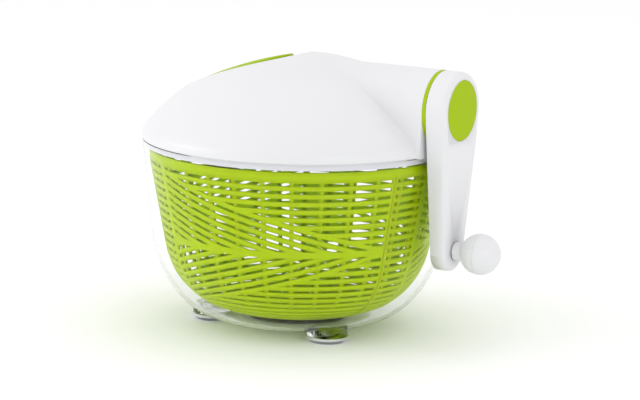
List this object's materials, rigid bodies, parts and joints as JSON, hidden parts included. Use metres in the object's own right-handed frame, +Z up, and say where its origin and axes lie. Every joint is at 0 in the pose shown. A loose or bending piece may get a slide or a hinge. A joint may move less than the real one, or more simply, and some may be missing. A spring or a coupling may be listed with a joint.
{
  "type": "salad spinner",
  "caption": "Salad spinner with a clear footed bowl, a slotted basket and a domed lid whose side crank turns the basket through bevel gears.",
  "frame": {"origin": "table level, under the middle of the object's bounding box; the bowl's axis stands at x = -27.6 mm", "axes": "+Z up, +X along the crank's shaft from the bowl's axis out to the crank, +Y completes a right-handed frame"},
  "size_m": [0.3092, 0.254, 0.2207],
  "materials": {
    "clear_plastic": "clear polished plastic",
    "green_plastic": "satin moulded",
    "green_soft": "soft touch",
    "white_plastic": "satin moulded",
    "pale_plastic": "matt moulded",
    "acetal": "natural acetal",
    "chrome": "bright",
    "steel": "turned",
    "rubber": "matt"
  },
  "bodies": {
    "bowl_body": {"bowl": "clear_plastic", "pivot_pin": "steel", "foot_cups": "chrome", "foot_pads": "rubber"},
    "bearing_body": {"bearing_cup": "acetal"},
    "basket_body": {"basket": "green_plastic"},
    "lid_body": {"lid_shell": "white_plastic", "palm_pad": "green_soft", "lid_base": "white_plastic", "lid_screws": "steel", "shaft_bracket": "white_plastic", "bracket_screws": "steel", "inner_bush": "acetal", "outer_bush": "acetal", "bearing_ring": "green_soft", "spindle_bush": "acetal"},
    "crank_body": {"crank_shaft": "steel", "drive_gear": "acetal", "shaft_clip": "steel", "crank_arm": "white_plastic", "crank_screw": "steel", "crank_disc": "green_soft", "knob_pin": "steel"},
    "knob_body": {"knob": "white_plastic", "knob_cap": "white_plastic"},
    "spindle_body": {"spindle": "steel", "pinion": "acetal", "drive_plate": "pale_plastic", "spindle_screw": "steel", "thrust_washer": "steel"}
  },
  "joints": [
    {"name": "basket_lift", "type": "slide", "parent": "bowl_body", "child": "bearing_body", "axis": [0, 0, 1], "range_m": [0, 0.15]},
    {"name": "lid_lift", "type": "slide", "parent": "bearing_body", "child": "lid_body", "axis": [0, 0, 1], "range_m": [0, 0.12]},
    {"name": "crank_turn", "type": "hinge", "parent": "lid_body", "child": "crank_body", "pos_m": [-0.0276, 0, 0.1881], "axis": [1, 0, 0], "continuous": true},
    {"name": "basket_spin", "type": "hinge", "parent": "bearing_body", "child": "basket_body", "pos_m": [-0.0276, 0, 0.02], "axis": [0, 0, 1], "continuous": true},
    {"name": "spindle_spin", "type": "hinge", "parent": "lid_body", "child": "spindle_body", "pos_m": [-0.0276, 0, 0.15], "axis": [0, 0, 1], "continuous": true},
    {"name": "knob_spin", "type": "hinge", "parent": "crank_body", "child": "knob_body", "pos_m": [0.1384, 0, 0.0765], "axis": [1, 0, 0], "continuous": true}
  ],
  "couplings": [
    {"joint": "spindle_spin", "follows": "crank_turn", "ratio": 3},
    {"joint": "basket_spin", "follows": "crank_turn", "ratio": 3}
  ]
}
